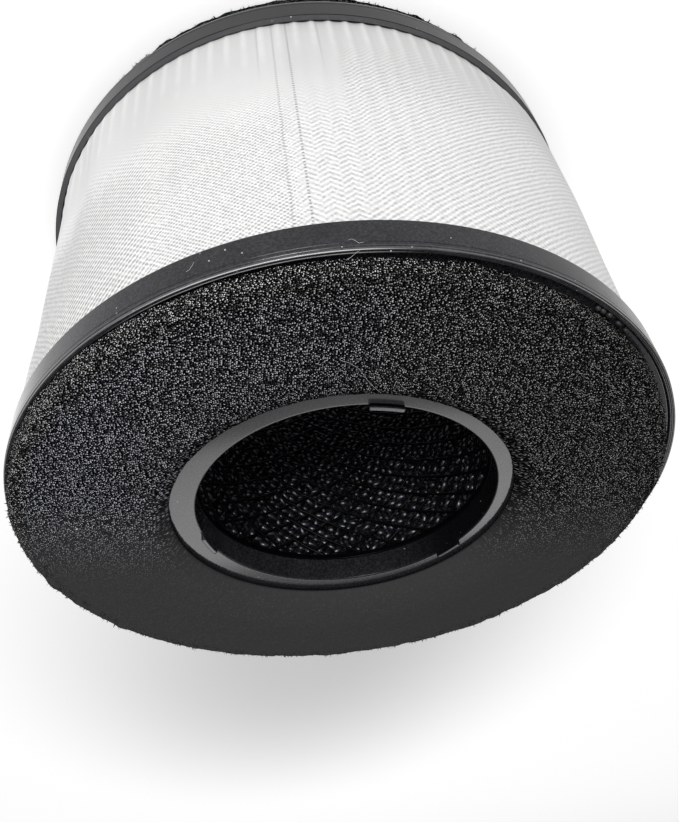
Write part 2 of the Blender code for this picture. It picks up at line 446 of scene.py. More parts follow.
def makeFloor():
    paper = Finish("paleFloor", {"Roughness": 0.9, "Emission Strength": 1.0})
    paper.use({"Specular IOR Level": 0.1})
    rays = [paper.node("LightPath", out=kind + " Ray") for kind in ("Is Camera", "Is Glossy")]
    seen = rays[0].math("MAXIMUM", rays[1])
    seen = seen.math("MAXIMUM", paper.node("LightPath", out="Is Transmission Ray"))
    # the floor is shaded behind the object
    x, y, z = paper.split()
    places = zip((x, y), floor["shadeAt"], floor["shadeReach"])
    across, along = [(place - middle) / reach for place, middle, reach in places]
    shaded = (across * across + along * along).math("SQRT").smooth(*floor["shadeEdge"])
    lift = seen * (1 - shaded * floor["shadeDepth"]) * floor["lift"]
    paper.use(
        {
            "Base Color": paper.tint(shaded, floor["colour"], floor["shaded"]),
            "Emission Color": paper.tint(lift, (0, 0, 0), (1, 1, 1)),
        }
    )
    reach, level = floor["reach"], floor["level"]
    mesh = bpy.data.meshes.new("floor")
    sides = ((-1, -1), (1, -1), (1, 1), (-1, 1))
    corners = [(reach * across, reach * along, level) for across, along in sides]
    mesh.from_pydata(corners, [], [(0, 1, 2, 3)])
    mesh.materials.append(paper.material)
    made = bpy.data.objects.new("floor", mesh)
    bpy.context.scene.collection.objects.link(made)


bpy.context.scene.view_settings.view_transform = "Standard"
makeCamera()
makeLight()
makeFloor()


say("moulded caps")

plastic = {
    "dark": (0.008, 0.0084, 0.010),
    "light": (0.040, 0.041, 0.046),
    "warmReflection": (0.040, 0.027, 0.015),
    "pale": (0.10, 0.10, 0.105),
    "deep": (0.003, 0.003, 0.0035),
    "black": (0.0005, 0.0005, 0.0006),
    "lit": (0.72, 0.72, 0.74),
    "dust": (0.40, 0.40, 0.39),
    "worn": (0.07, 0.07, 0.074),
    "blotch": 0.006,
    "mottle": 0.0006,
    "wear": 0.004,
    "gloss": 0.81,
    "roughness": 0.17,
    "roughnessSpread": 0.10,
    "roughnessPatch": 0.003,
    "grain": 0.00022,
    "grainHeight": 0.000012,
    "highlightLines": (0.08970, 0.08872),
    "speck": 0.0034,
    "fineSpeck": 0.0011,
}

# Where each mask is 0 and where it is 1. Angles are from +X, and a facing is how far up a side looks.
capZone = {
    "edge": (0.0889, 0.0893),
    "edgeHeight": (0.0558, 0.0562),  # from midway between the two rims
    "flat": (0.90, 0.99),
    "polished": ((-0.66, -0.30), (1.20, 0.60)),
    "polishedHeight": (0.014, 0.030),
    "ring": (0.0475, 0.0465),
    "dullRing": ((0.5, 1.1), (2.7, 2.1)),
    "ringSheen": ((-2.5, -1.7), (-0.7, -1.4)),
    "wall": (0.0892, 0.0897),
    "pale": (-0.90, -0.42),
    "dark": (-1.65, -2.05),
    "warmReflectionTurn": ((-2.05, -2.55), (2.6, 2.9)),
    "farWallShade": (0.0141, 0.0137),
    "farEndSheen": (0.0005, 0.0002),
    "farEndSheenFacing": (0.80, 0.95),
    "collar": (0.0427, 0.0425),
    "shadedCollar": ((1.9, 2.6), (-2.2, -2.5)),
    "line": (0.00018, 0.00004),
    "highlightAngle": ((-1.62, -1.42), (-0.75, -1.15)),
    "highlightHeight": (-0.0009, -0.0006),  # this and the heights below are from the near rim
    "outerHighlightHeight": (-0.0003, -0.0001),
    "tip": (0.0437, 0.0434),
    "fingerGlintAngle": ((-0.9, -1.2), (-2.3, -2.0)),
    "fingerGlintHeight": (-0.0004, -0.0001),
    "fingerGlintFacing": (0.5, 0.9),
    "slot": ((0.0427, 0.0430), (0.0455, 0.0451)),
    "slotShadeHeight": (-0.0002, -0.0006),
    "slotShadeFacing": (0.6, 0.3),
}

capAmount = {
    "dullRing": 0.5,
    "ringSheen": 0.36,
    "wear": 0.5,
    "pale": 0.9,
    "dark": 0.55,
    "warmReflectionTurn": 0.6,
    "farWallShade": 0.95,
    "farEndSheen": 0.7,
    "collar": 0.9,
    "tip": 0.21,
    "dust": 0.7,
    "fineDust": 0.6,
}


def mouldedPlastic():
    fixed = {"Specular IOR Level": 0.14, "Coat Roughness": 0.09, "Coat IOR": 1.5}
    finish = Finish("capPlastic", fixed)
    zone, amount = capZone, capAmount
    angle, radius, height = finish.polar()
    facing = finish.node("SeparateXYZ", None, {0: finish.node("NewGeometry", out="Normal")}, 2)
    level = facing.math("ABSOLUTE")
    top = height - body["rim"]
    mottle = finish.cloud(plastic["mottle"], 3).smooth(0.40, 0.66)
    mottle = finish.cloud(plastic["blotch"], 3) * 0.5 + mottle * 0.6
    shade = finish.tint(mottle - 0.1, plastic["dark"], plastic["light"])
    # the rim's edges and all that faces up or down are polished, and so is one side
    midway = (body["rim"] + body["lowRim"]) / 2
    rimEdge = radius.smooth(*zone["edge"])
    rimEdge = rimEdge * (height - midway).math("ABSOLUTE").smooth(*zone["edgeHeight"])
    gloss = rimEdge.math("MAXIMUM", level.smooth(*zone["flat"]))
    side = angle.span(*zone["polished"]) * height.smooth(*zone["polishedHeight"])
    # less so on the ring's side away from the camera
    ring = radius.smooth(*zone["ring"])
    duller = ring * angle.span(*zone["dullRing"]) * amount["dullRing"]
    gloss = gloss.math("MAXIMUM", side) * (plastic["gloss"] - duller)
    wear = rimEdge * finish.cloud(plastic["wear"]).smooth(0.45, 0.75)
    shade = finish.tint(wear * amount["wear"], shade, plastic["worn"])
    # painted reflection and shade: the skirt is painted paler at the picture's left for its bright
    # reflection, and darker and browner where it turns away at the right, a painted shade with a warm
    # painted reflection
    wall = radius.smooth(*zone["wall"])
    warmReflectionSide = angle.smooth(*zone["warmReflectionTurn"][0]) + angle.smooth(*zone["warmReflectionTurn"][1])
    shade = finish.tint(wall * angle.smooth(*zone["pale"]) * amount["pale"], shade, plastic["pale"])
    shade = finish.tint(wall * angle.smooth(*zone["dark"]) * amount["dark"], shade, plastic["dark"])
    shade = finish.tint(wall * warmReflectionSide * amount["warmReflectionTurn"], shade, plastic["warmReflection"])
    # painted shade and reflection: the far cap's wall is painted darker than the end that meets the
    # sleeve, which is painted paler for the sleeve it reflects
    farWallShade = wall * height.smooth(*zone["farWallShade"])
    shade = finish.tint(farWallShade * amount["farWallShade"], shade, plastic["deep"])
    farEndSheen = (height - body["lowRim"] - body["skirt"]).math("ABSOLUTE").smooth(*zone["farEndSheen"])
    farEndSheen = facing.smooth(*zone["farEndSheenFacing"]) * farEndSheen
    shade = finish.tint(farEndSheen * amount["farEndSheen"], shade, plastic["pale"])
    # painted shade: the collar is painted black on one side, where the bore lies in shadow
    black = angle.smooth(*zone["shadedCollar"][0]) + angle.smooth(*zone["shadedCollar"][1])
    collar = radius.smooth(*zone["collar"]) * black
    shade = finish.tint(collar * amount["collar"], shade, plastic["deep"])
    # painted highlights: light lines are painted along both edges of the near rim, and on the top
    # finger's end
    highlightEdges = [(radius - line).math("ABSOLUTE").smooth(*zone["line"]) for line in plastic["highlightLines"]]
    lit = highlightEdges[0].smooth(0, 1) * top.smooth(*zone["outerHighlightHeight"]) + highlightEdges[1]
    lit = lit * angle.span(*zone["highlightAngle"]) * top.smooth(*zone["highlightHeight"])
    tip = radius.smooth(*zone["tip"]) * facing.smooth(*zone["fingerGlintFacing"])
    tip = tip * top.smooth(*zone["fingerGlintHeight"]) * angle.span(*zone["fingerGlintAngle"]) * amount["tip"]
    shade = finish.tint(lit.math("MAXIMUM", tip), shade, plastic["lit"])
    # painted shade: the slots behind the fingers are painted black
    slot = radius.span(*zone["slot"]) * level.smooth(*zone["slotShadeFacing"])
    shade = finish.tint(slot * top.smooth(*zone["slotShadeHeight"]), shade, plastic["black"])
    speck = finish.cells(plastic["speck"]).smooth(0.085, 0.045)
    chosen = finish.node("SeparateXYZ", None, {0: finish.cells(plastic["speck"], "Color")})
    fine = finish.cells(plastic["fineSpeck"]).smooth(0.10, 0.05)
    few = finish.node("SeparateXYZ", None, {0: finish.cells(plastic["fineSpeck"], "Color")}, 1)
    fine = fine * few.smooth(0.86, 0.9) * amount["fineDust"]
    speck = (speck * chosen.smooth(0.72, 0.78)).math("MAXIMUM", fine)
    shade = finish.tint(speck * amount["dust"], shade, plastic["dust"])
    # painted reflection: the flat ring is painted paler on its -Y side
    ringSheenMask = ring * facing.smooth(*zone["flat"]) * angle.span(*zone["ringSheen"])
    shade = finish.tint(ringSheenMask * amount["ringSheen"], shade, plastic["pale"])
    patch = finish.cloud(plastic["roughnessPatch"], 4)
    rough = plastic["roughness"] + patch * plastic["roughnessSpread"]
    normal = finish.bump(finish.cloud(plastic["grain"], 2), plastic["grainHeight"], 0.6)
    finish.use({"Base Color": shade, "Roughness": rough, "Normal": normal, "Coat Weight": gloss})
    return finish


capPlastic = mouldedPlastic()

cap = {
    "floorThickness": 0.0016,
    "collarWall": 0.0016,
    "lip": 0.0006,
    "edge": 0.00034,
    "mouldLine": 0.0021,
    "ledge": 0.00080,
    "ledgeWidth": 0.00020,
    "landFall": 0.0005,
    "landLines": (0.0893, 0.0889),
    "lineWidth": 0.00012,
    "lineDepth": 0.00007,
    "mouldLineWidth": 0.0001,
    "mouldLineDepth": 0.00008,
    "columns": 360,
}

finger = {
    "first": radians(265),
    "count": 3,
    "width": 0.0090,
    "slit": 0.0008,
    "inner": 0.0419,
    "outer": 0.0431,
    "aboveRim": 0.0001,
    "root": 0.0068,
    "pocketDepth": 0.0054,
    "pocketInner": 0.0416,
    "pocketReach": 0.0449,
}


def capOutline():
    # Heights are from the rim plane inwards. The rim's land falls inwards and its wall has a small ledge.
    outer, wall, bore = body["capRadius"], body["recessRadius"], body["bore"]
    edge, under, skirt = cap["edge"], body["recess"] + cap["floorThickness"], body["skirt"]
    collar, ledge, step = bore + cap["collarWall"], cap["ledge"], cap["ledgeWidth"]
    fall = cap["landFall"] / (outer - wall)
    land = []
    for line in cap["landLines"]:
        for side, deep in ((-1, 0), (0, cap["lineDepth"]), (1, 0)):
            radius = line + side * cap["lineWidth"]
            land.append((radius, (radius - outer) * fall - deep, 0))
    mould, half = cap["mouldLine"], cap["mouldLineWidth"]
    corners = [
        *sorted(land),
        (outer - step, 0, edge),
        (outer - step, -ledge, 0),
        (outer, -ledge - step * 0.7, 0.00016),
        (outer, half - mould, 0),
        (outer - cap["mouldLineDepth"], -mould, 0),
        (outer, -mould - half, 0),
        (outer, -skirt, 0.00025),
        (wall, -skirt, 0.00025),
        (wall, -under, 0.0003),
        (collar, -under, 0.0003),
        (collar, -body["collarDepth"], 0.0003),
        (bore, -body["collarDepth"], 0.00008),
        (bore, -body["recess"], cap["lip"]),
        (wall, -body["recess"], 0.0003),
        (wall, -cap["landFall"], edge),
    ]
    return np.array(eased(corners))


def boxSection(inner, outer, low, high, edge):
    corners = [(inner, low, edge), (outer, low, edge), (outer, high, edge), (inner, high, edge)]
    return eased(corners, 3)


def makeCap(name, node, place):
    # place turns a height measured from the rim into one in the frame
    outline = capOutline()
    outline[:, 1] = place(outline[:, 1])
    whole = skin(name, turned(outline, cap["columns"]))
    angles = [finger["first"] + number * tau / finger["count"] for number in range(finger["count"])]
    low, high = sorted(place(np.array([-finger["pocketDepth"], finger["aboveRim"]])))
    pocket = boxSection(finger["pocketInner"], finger["pocketReach"], low, high, 0.0002)
    width = finger["width"] + 2 * finger["slit"]
    tool = joined("pockets", [curvedBar(angle, width, pocket, 0.0008) for angle in angles])
    made = piece(name, carved(whole, tool), "black_plastic", capPlastic, node)
    low, high = sorted(place(np.array([-finger["root"], finger["aboveRim"]])))
    section = boxSection(finger["inner"], finger["outer"], low, high, 0.00022)
    tongues = [curvedBar(angle, finger["width"], section, 0.0004) for angle in angles]
    piece(name + "Fingers", joined("fingers", tongues), "black_plastic", capPlastic, node)
    return made


makeCap("topCap", "top_cap", lambda height: body["rim"] + height)
makeCap("bottomCap", "bottom_cap", lambda height: body["lowRim"] - height)


say("foam rings")

foam = {
    "dark": (0.0022, 0.0022, 0.0026),
    "middle": (0.052, 0.052, 0.052),
    "cool": (0.89, 0.91, 0.99),
    "plain": (0.92, 0.92, 0.905),
    "olive": (0.92, 0.91, 0.87),
    "cell": 0.00046,
    "loose": 1.0,
    "patch": 0.004,
    "midHigh": 0.0617,
    "halfHigh": 0.0631,
    "crown": (0.0820, 0.0860),
    "glintNearBore": (0.0475, 0.0540),
    "sharp": (0.031, -0.018),  # along Y
    "across": (-0.06, 0.085),  # along X
    "upper": (0.01, 0.05),
    "step": 0.00050,
    "columns": 860,
    "lowColumns": 620,
    "lowStep": 0.00070,
    "topShift": (0.0013, 0.0),
    "lowShift": (0.0, -0.0017),
    "inner": 0.0479,
    "outer": 0.08700,
    "lowOuter": 0.08692,
    "rise": 0.0046,
    "innerRise": 0.0006,
    "lump": 0.00005,
    "lumpSize": 0.0026,
    "pore": 0.00005,
    "poreSize": 0.0009,
    "bristle": 0.00004,
    "ragged": 0.00045,
    "raggedSize": 0.0050,
    "glued": 0.0007,
    "free": (-0.0009, 0.0),
    "hairs": 2600,
    "hairBand": 0.004,
    "hairWidth": 0.00013,
    "hairLength": (0.0003, 0.0011),
}


def foamFinish():
    # Black struts with painted glints, a bright point in the colour where one would catch the light. The
    # far side is softer, painted a plain grey.
    finish = Finish("openCellFoam", {"Roughness": 0.8, "Specular IOR Level": 0.0})
    x, y, z = finish.split()
    size = foam["cell"]
    away = ((x - foam["topShift"][0]) ** 2 + y * y).math("SQRT")
    # the grain runs on over the rounded edges, as far out as the surface has dropped
    drop = foam["halfHigh"] - (z - foam["midHigh"]).math("ABSOLUTE")
    spread = drop / away + 1
    spot = finish.node("CombineXYZ", None, {0: x * spread, 1: y * spread})
    strut = finish.dots(spot, size, foam["loose"])
    chance = finish.node("SeparateXYZ", None, {0: finish.dots(spot, size, foam["loose"], "Color")})
    paintedGlint = strut.smooth(0.42, 0.08) * (chance**3 * 1.95 + 0.05)
    patch = finish.cloud(foam["patch"], 2).smooth(0.2, 0.8) * 0.12 + 0.89
    # painted light: the glints are paler and bluer towards +X, olive on the crown, and fainter by the
    # bore and on the bottom ring
    crown = away.smooth(*foam["crown"])
    sharp = y.smooth(*foam["sharp"]) * 0.95 + 0.05
    across = x.smooth(*foam["across"])
    light = finish.tint(across, foam["plain"], foam["cool"])
    light = finish.tint(crown * 0.8, light, foam["olive"])
    paintedGlint = paintedGlint * (patch - crown * 0.08) * (across * 0.52 + 0.45)
    paintedGlint = paintedGlint * (z.smooth(*foam["upper"]) * 0.7 + 0.3)
    fleck = finish.tint(paintedGlint * (away.smooth(*foam["glintNearBore"]) * 0.6 + 0.4), foam["dark"], light)
    shade = finish.tint(sharp, foam["middle"], fleck)
    height = strut + finish.cloud(size, 2) * 0.7
    normal = finish.bump(height * sharp, 0.0001, 0.7)
    finish.use({"Base Color": shade, "Normal": normal})
    return finish


openCellFoam = foamFinish()


def foamRing(name, node, corners, place, shift, columns, step, seed):
    outline = respaced(eased(corners), step)
    # the glued side needs few points
    glued = outline[:, 1] < -body["recess"] + foam["glued"]
    outline = outline[~glued | (np.arange(len(outline)) % 10 == 0)]
    flipped = outline.copy()
    flipped[:, 1] = place(outline[:, 1])
    points = turned(flipped, columns, shift)
    facing = outward(flipped, columns)
    draw = np.random.default_rng(seed)
    swell = lumps(points, foam["lumpSize"], seed) * foam["lump"]
    swell = swell + lumps(points, foam["poreSize"], seed) * foam["pore"]
    swell += draw.normal(0, foam["bristle"], swell.shape)
    free = upTo(outline[:, 1], *foam["free"])[:, None]
    points += facing * (swell * free)[..., None]
    # the outer edge is cut raggedly
    edge = free * upTo(outline[:, 0], foam["outer"] - 0.003, foam["outer"] + 0.0004)[:, None]
    torn = np.maximum(lumps(points, foam["raggedSize"], seed + 4), -0.2)
    points += facing * (torn * edge * foam["ragged"])[..., None]
    points[..., 2] = np.maximum(points[..., 2], 0)
    # torn cell walls stand up from the open side, all of them near the outer edge
    rim = np.argwhere((outline[:, 1] > 0) & (outline[:, 0] > foam["outer"] - foam["hairBand"])).ravel()
    row, column = draw.choice(rim, foam["hairs"]), draw.integers(0, columns, foam["hairs"])
    root, away = points[row, column], facing[row, column] + draw.normal(0, 0.5, (foam["hairs"], 3))
    length = draw.uniform(*foam["hairLength"], (foam["hairs"], 1))
    base = root[:, None] + draw.normal(0, foam["hairWidth"], (foam["hairs"], 3, 3))
    tip = root + away / np.linalg.norm(away, axis=1)[:, None] * length
    hairs = np.concatenate((base, tip[:, None]), 1)
    hairs[..., 2] = np.maximum(hairs[..., 2], 0)
    made = piece(name, skin(name, points, hairs), "black_foam", openCellFoam, node)
    return made


def makeFoam():
    base = -body["recess"] + 0.0003
    inner, outer, lowOuter = foam["inner"], foam["outer"], foam["lowOuter"]
    crowned = [
        (outer, foam["rise"], 0.0013),
        (outer + 0.0007, 0.0001, 0.0004),
        (outer + 0.0003, -0.0006, 0.0003),
        (outer, base, 0.0002),
        (inner, base, 0.0003),
        (inner, foam["innerRise"] - 0.0004, 0.0005),
        (inner + 0.0043, 0.0028, 0.0018),
        (inner + 0.0130, foam["rise"], 0.0040),
    ]
    foamRing(
        "topFoam",
        "top_foam_ring",
        crowned,
        lambda height: body["rim"] + height,
        foam["topShift"],
        foam["columns"],
        foam["step"],
        3,
    )
    flat = [
        (lowOuter + 0.0004, foam["rise"], 0.0009),
        (lowOuter + 0.0004, 0.0012, 0.0006),
        (lowOuter - 0.0010, 0, 0.0003),
        (lowOuter - 0.0010, base, 0.0003),
        (inner, base, 0.0003),
        (inner, foam["rise"], 0.0008),
    ]
    foamRing(
        "bottomFoam",
        "bottom_foam_ring",
        flat,
        lambda height: body["lowRim"] - height,
        foam["lowShift"],
        foam["lowColumns"],
        foam["lowStep"],
        7,
    )


makeFoam()


say("woven sleeve")

sleeve = {
    "columns": 912,
    "rows": 84,
    "innerRows": 14,
    "low": 0.0103,
    "high": 0.1132,
    "radius": 0.0876,
    "thickness": 0.0004,
    "bulge": 0.0011,
    "ridge": 0.00003,
    "seamRidge": 0.00030,
    "farRidge": 0.00012,
    "puff": 0.0011,
    "pull": 0.0024,
    "mouth": 0.0005,
    "firstTip": radians(-0.4),
    "warps": 560,
    "weft": 0.00091,
    "relief": 0.00011,
    "thread": (0.95, 0.95, 0.945),
    "shadedValley": (0.46, 0.46, 0.455),
    "hole": (0.24, 0.24, 0.24),
    "stitch": 0.00118,
    "seams": ((-11.6, 0.95), (-14.2, 0.7), (-17.0, 0.0), (-6.0, 0.0)),
}


# Turns are in degrees from -Y towards the picture's right, shares run from the far cap to the near one.
# A pair says where something starts and where it is full, and a hump has a middle and a width.
form = {
    "fold": 0.30,
    "foldLoss": 0.12,
    "foldLossShare": (0.25, 0.0),
    "farTurn": (50, 20),
    "farShare": (0.34, 0.02),
    "seamHump": (-2, 13),
    "mouthShare": ((0.0, 0.03), (0.35, 0.08)),
    "puffTurn": (12, 42),
    "puffShare": ((0.035, 0.09), (0.7, 0.3)),
    "swell": 0.0008,
    "swellHump": (-52, 14),
    "swellShare": ((0.45, 0.10), (0.02, 0.07)),
    "leftHump": (-78, 26),
    "waves": 22,
    "waveStart": radians(-74),
    "waveLean": 1.2,
    "waveDepth": 0.45,
    "pullShare": ((0.02, 0.16), (0.95, 0.35)),
    "flare": 0.0009,
    "flareShare": ((0.68, 0.86), (0.97, 0.92)),
}


def sleeveRadius(turn, share):
    degrees = np.degrees(turn)
    radius = sleeve["radius"] + sleeve["bulge"] * np.sin(pi * share) + 0 * turn
    fold = (turn - sleeve["firstTip"]) * body["pleats"] / tau
    fold = fold - np.round(fold)
    far = upTo(share, *form["farShare"]) * upTo(degrees, *form["farTurn"])
    depth = sleeve["ridge"] + sleeve["farRidge"] * far
    depth = depth + sleeve["seamRidge"] * hump(degrees, *form["seamHump"])
    width = form["fold"] - form["foldLoss"] * upTo(share, *form["foldLossShare"])
    radius += (hump(fold, 0, width) - 1) * depth
    # it fills the far skirt's mouth, and puffs out past it on the right
    radius += sleeve["mouth"] * within(share, *form["mouthShare"])
    radius += sleeve["puff"] * upTo(degrees, *form["puffTurn"]) * within(share, *form["puffShare"])
    radius += form["swell"] * hump(degrees, *form["swellHump"]) * within(share, *form["swellShare"])
    # the picture's left side is drawn in, with a few soft folds
    left = hump(degrees, *form["leftHump"])
    wave = (turn - form["waveStart"]) * form["waves"] + form["waveLean"] * share
    wave = 1 - form["waveDepth"] + form["waveDepth"] * np.cos(wave)
    radius -= sleeve["pull"] * left * within(share, *form["pullShare"]) * wave
    radius += form["flare"] * left * within(share, *form["flareShare"])
    return radius


def makeSleeveMesh():
    columns, rows, inner = sleeve["columns"], sleeve["rows"], sleeve["innerRows"]
    angle = np.arange(columns) * tau / columns
    turn = (1.5 * pi - angle + pi) % tau - pi
    shares = np.concatenate((np.linspace(0, 1, rows), np.linspace(1, 0, inner)))
    radius = sleeveRadius(turn[None, :], shares[:, None])
    radius[rows:] -= sleeve["thickness"]
    height = sleeve["low"] + (sleeve["high"] - sleeve["low"]) * shares
    x, y = radius * np.cos(angle), radius * np.sin(angle)
    points = np.stack((x, y, np.repeat(height[:, None], columns, 1)), -1)
    return skin("wovenSleeve", points)


# The same, for the threads and the tone
weave = {
    "drift": 0.0045,
    "driftUp": 0.0060,
    "fineness": 1.42,
    "left": (-11, -15),
    "right": (-5, -1.5),
    "back": (100, 120),
    "steep": (-20, -58),
    "fine": (-40, -31),
    "loudLeft": (-24, -52),
    "loudRight": (52, 16),
    "loudEnd": (-72, -64),
    "sharpShare": (0.32, 0.62),
    "fleck": 0.00060,
    "patch": 0.0011,
    "tips": (0.34, 0.0),
    "tipsTurn": (46, 20),
    "darkShare": (0.55, 0.20),
    "paintedLightLeft": (-35, -60),
    "line": (0.0044, 0.0018),
}


def sleeveFinish():
    finish = Finish("wovenNylon", {"Specular IOR Level": 0.3, "Sheen Weight": 0.05})
    angle, radius, height = finish.polar()
    turn = (-0.5 * pi - angle).math("WRAP", pi, -pi)
    degrees = turn * (180 / pi)
    share = (height - sleeve["low"]) / (sleeve["high"] - sleeve["low"])
    fold = (turn - sleeve["firstTip"]) * (body["pleats"] / tau)
    fold = (fold + 0.5).math("FRACT") - 0.5
    # Threads that cross make ribs both ways, painted into the colour as the weave's pattern with its
    # painted shade. On the left both show, with a finer weave by the seam.
    # On the right one way is the stronger, and between the seams each fold has one a side, as painted
    # shade that follows how the light falls.
    drift = (finish.cloud(weave["drift"]) - 0.5) * 0.9
    warp = angle * (sleeve["warps"] / tau) + drift
    weft = height / sleeve["weft"] + (finish.cloud(weave["driftUp"]) - 0.5) * 0.5
    rising = ((warp - weft) * pi).math("COSINE")
    falling = ((warp + weft) * pi).math("COSINE")
    close = [((warp + way * weft) * (weave["fineness"] * pi)).math("COSINE") for way in (-1, 1)]
    start, end = weave["back"]
    left = degrees.smooth(*weave["left"]) + degrees.smooth(start, end)
    right = degrees.smooth(*weave["right"]) * degrees.smooth(end, start)
    side = fold.smooth(-0.12, 0.12) * 0.7 + 0.15
    seam = 1 - left - right
    steep = degrees.smooth(*weave["steep"]) * 1.6 + 1
    ribs = rising * (right + seam * side) + falling * (seam * (1 - side) + right * 0.35)
    fine = left * degrees.smooth(*weave["fine"])
    ribs = ribs + (close[0] + close[1]) * fine * 1.2 + (rising * steep + falling) * (left - fine)
    near = share + right * 0.20 + (finish.cloud(0.02) - 0.5) * 0.14
    near = near.smooth(*weave["sharpShare"]) * 0.98 + 0.02
    loud = left * (degrees.smooth(*weave["loudLeft"]) * 0.20 + 0.40) + seam * 0.38
    loud = loud + right * (degrees.smooth(*weave["loudRight"]) * 0.23 + 0.09)
    loud = loud * (finish.cloud(weave["patch"], 1).smooth(0.34, 0.66) * 0.9 + 0.55)
    loud = loud * degrees.smooth(*weave["loudEnd"])
    fleck = (finish.cloud(weave["fleck"], 1) - 0.5) * (left + seam * 0.7 + right * 0.4) * 1.2
    ribs = (ribs * loud + fleck) * near
    # painted highlight: the pleat tips show through as bright lines painted by the far cap, and the cloth
    # right by the cap is painted a little darker as shade
    reach = (share + (finish.cloud(0.006) - 0.5) * 0.3).smooth(*weave["tips"])
    tips = fold.math("ABSOLUTE").smooth(0.30, 0.02) * reach
    tips = tips * (degrees.smooth(*weave["tipsTurn"]) * 0.20 + 0.03) - share.smooth(0.30, 0.0) * 0.05
    tone = ribs + tips + 0.60 - share.smooth(*weave["darkShare"]) * 0.22
    tone = tone + (finish.cloud(0.012) - 0.5) * 0.1
    # painted light: the tone is painted paler on the left
    tone = tone + left * (degrees.smooth(*weave["paintedLightLeft"]) * 0.22 + 0.06)
    shade = finish.tint(tone, sleeve["shadedValley"], sleeve["thread"])
    # stitch holes run along the seams
    hole = 0
    dots = ((height / sleeve["stitch"]).math("FRACT") - 0.5).math("ABSOLUTE").smooth(0.26, 0.12)
    for place, reach in sleeve["seams"]:
        line = (turn - radians(place)).math("ABSOLUTE").smooth(*weave["line"])
        fade = reach or share.smooth(0.4, 0.1) * 0.6
        hole = (line * dots * fade).math("MAXIMUM", hole)
    shade = finish.tint(hole, shade, sleeve["hole"])
    normal = finish.bump(ribs, sleeve["relief"], 1.0)
    rough = 0.62 + finish.cloud(0.001) * 0.1
    finish.use({"Base Color": shade, "Roughness": rough, "Normal": normal})
    return finish


wovenNylon = sleeveFinish()
cloth = piece("wovenSleeve", makeSleeveMesh(), "white_nylon", wovenNylon, "mesh_sleeve")


say("core lattice and carbon")

core = {
    "low": 0.0138,
    "high": 0.1097,
    "strands": 22,
    "slope": radians(30),
    "inner": 0.04275,
    "outer": 0.04310,
    "weave": 0.00055,
    "strandWidth": 0.0010,
    "strandDepth": 0.0008,
    "strandSteps": 56,
    "strandSides": 6,
    "offset": 0.05,
    "band": 0.0014,
    "bandPast": 0.0003,
    "bandInner": 0.0422,
    "bandOuter": 0.0437,
    "bandColumns": 220,
    "dark": (0.0006, 0.0006, 0.001),
    "light": (0.002, 0.002, 0.003),
}

carbon = {
    "count": 3500,
    "inner": 0.0453,
    "radius": 0.0014,
    "size": (0.82, 1.1),
    "length": (0.0028, 0.0042),
    "lean": 0.35,
    "scatter": 0.0009,
    "turn": 2.399963,  # the golden angle strews them evenly
    "inset": 0.0075,
    "backInner": 0.0462,
    "backOuter": 0.0552,
    "backPast": 0.0002,
    "backLump": 0.0003,
    "backLumpSize": 0.0022,
    "dark": (0.0015, 0.0015, 0.002),
    "light": (0.006, 0.006, 0.007),
}


def strand(start, way, radius):
    # One flat strand that climbs round the bore. Its section is six-sided.
    rise = core["high"] - core["low"]
    sweep = rise / (radius * np.tan(core["slope"]))
    steps, sides = core["strandSteps"], core["strandSides"]
    points, faces = [], []
    section = [(cos(turn), sin(turn)) for turn in np.arange(sides) * tau / sides]
    for number in range(steps + 1):
        share = number / steps
        angle = start + way * sweep * share
        height = core["low"] + rise * share
        for wide, deep in section:
            across = wide * core["strandWidth"] / 2
            lift = way * core["weave"] * cos(2 * core["strands"] * angle)
            far = radius + lift + deep * core["strandDepth"] / 2
            turn = angle - way * across * sin(core["slope"]) / radius
            level = height + across * cos(core["slope"])
            level = min(max(level, core["low"]), core["high"])
            points.append((far * cos(turn), far * sin(turn), level))
    for row in range(steps):
        for column in range(sides):
            beside = (column + 1) % sides
            corners = (column, beside, beside + sides, column + sides)
            faces.append(tuple(row * sides + corner for corner in corners[::way]))
    faces.append(tuple(range(sides))[::-way])
    faces.append(tuple(range(steps * sides, (steps + 1) * sides))[::way])
    return points, faces


def makeCore():
    parts = []
    for number in range(core["strands"]):
        start = number * tau / core["strands"]
        parts.append(strand(start, 1, core["inner"]))
        parts.append(strand(start + core["offset"], -1, core["outer"]))
    finish = corePlastic()
    piece("coreLattice", joined("coreLattice", parts), "black_plastic", finish, "core_tube")
    low, high, band, past = core["low"], core["high"], core["band"], core["bandPast"]
    bands = (("coreBandLow", low - past, low + band), ("coreBandHigh", high - band, high + past))
    for name, bottom, top in bands:
        inner, outer, edge = core["bandInner"], core["bandOuter"], 0.0002
        corners = [(outer, bottom, edge), (outer, top, edge), (inner, top, edge), (inner, bottom, edge)]
        points = turned(eased(corners, 3), core["bandColumns"])
        piece(name, skin(name, points), "black_plastic", finish, "core_tube")


def corePlastic():
    finish = Finish("corePlastic", {"Specular IOR Level": 0.08})
    shade = finish.tint(finish.cloud(0.002, 3), core["dark"], core["light"])
    normal = finish.bump(finish.cloud(0.0006, 2), 0.00005, 0.7)
    finish.use({"Base Color": shade, "Roughness": 0.22 + finish.cloud(0.001) * 0.2, "Normal": normal})
    return finish


def carbonFinish():
    finish = Finish("activatedCarbon", {"Specular IOR Level": 1.0, "Specular Tint": (0.84, 0.90, 1.0)})
    shade = finish.tint(finish.cloud(0.0012, 3), carbon["dark"], carbon["light"])
    rough = 0.28 + finish.cloud(0.002, 2) * 0.14
    normal = finish.bump(finish.cloud(0.0008, 2), 0.00005, 0.6)
    finish.use({"Base Color": shade, "Roughness": rough, "Normal": normal})
    return finish


